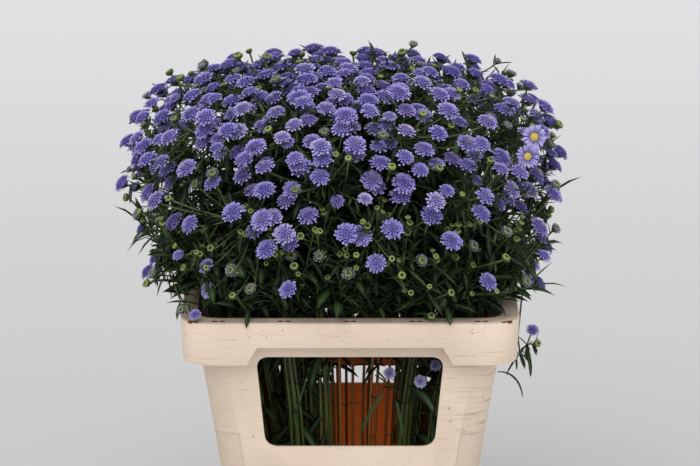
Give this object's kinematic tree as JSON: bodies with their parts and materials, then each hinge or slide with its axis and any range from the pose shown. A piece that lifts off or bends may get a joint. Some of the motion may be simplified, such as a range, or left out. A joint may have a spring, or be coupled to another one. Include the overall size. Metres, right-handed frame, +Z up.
{
  "type": "trade container of cut aster sprays",
  "caption": "Tall moulded flower container with a window in its wall, holding water and packed with branching sprays of double lavender-blue asters.",
  "frame": {"origin": "centre of the container's flat underside", "axes": "+Z up, -Y towards the front with the large window, +X to the right seen from the front"},
  "size_m": [0.5417, 0.3932, 0.6847],
  "materials": {
    "plastic": "satin moulded, slightly translucent, scuffed",
    "water": "clear, faintly green",
    "foliage": "matt leaf green",
    "petals": "matt petals"
  },
  "bodies": {
    "root": {"container": "plastic", "water": "water", "aster_stem_01": "foliage", "aster_stem_02": "foliage", "aster_stem_03": "foliage", "aster_stem_04": "foliage", "aster_stem_05": "foliage", "aster_stem_06": "foliage", "aster_stem_07": "foliage", "aster_stem_08": "foliage", "aster_stem_09": "foliage", "aster_stem_10": "foliage", "aster_stem_11": "foliage", "aster_stem_12": "foliage", "aster_stem_13": "foliage", "aster_stem_14": "foliage", "aster_stem_15": "foliage", "aster_stem_16": "foliage", "aster_stem_17": "foliage", "aster_stem_18": "foliage", "aster_stem_19": "foliage", "aster_stem_20": "foliage", "aster_stem_21": "foliage", "aster_stem_22": "foliage", "aster_stem_23": "foliage", "aster_stem_24": "foliage", "aster_stem_25": "foliage", "aster_stem_26": "foliage", "aster_stem_27": "foliage", "aster_stem_28": "foliage", "aster_head_01": "petals", "aster_head_02": "petals", "aster_head_03": "petals", "aster_head_04": "petals", "aster_head_05": "petals", "aster_head_06": "petals", "aster_head_07": "petals", "aster_head_08": "petals", "aster_head_09": "petals", "aster_head_10": "petals", "aster_head_11": "petals", "aster_head_12": "petals", "aster_head_13": "petals", "aster_head_14": "petals", "aster_head_15": "petals", "aster_head_16": "petals", "aster_head_17": "petals", "aster_head_18": "petals", "aster_head_19": "petals", "aster_head_20": "petals", "aster_head_21": "petals", "aster_head_22": "petals", "aster_head_23": "petals", "aster_head_24": "petals", "aster_head_25": "petals", "aster_head_26": "petals", "aster_head_27": "petals", "aster_head_28": "petals"}
  },
  "joints": []
}
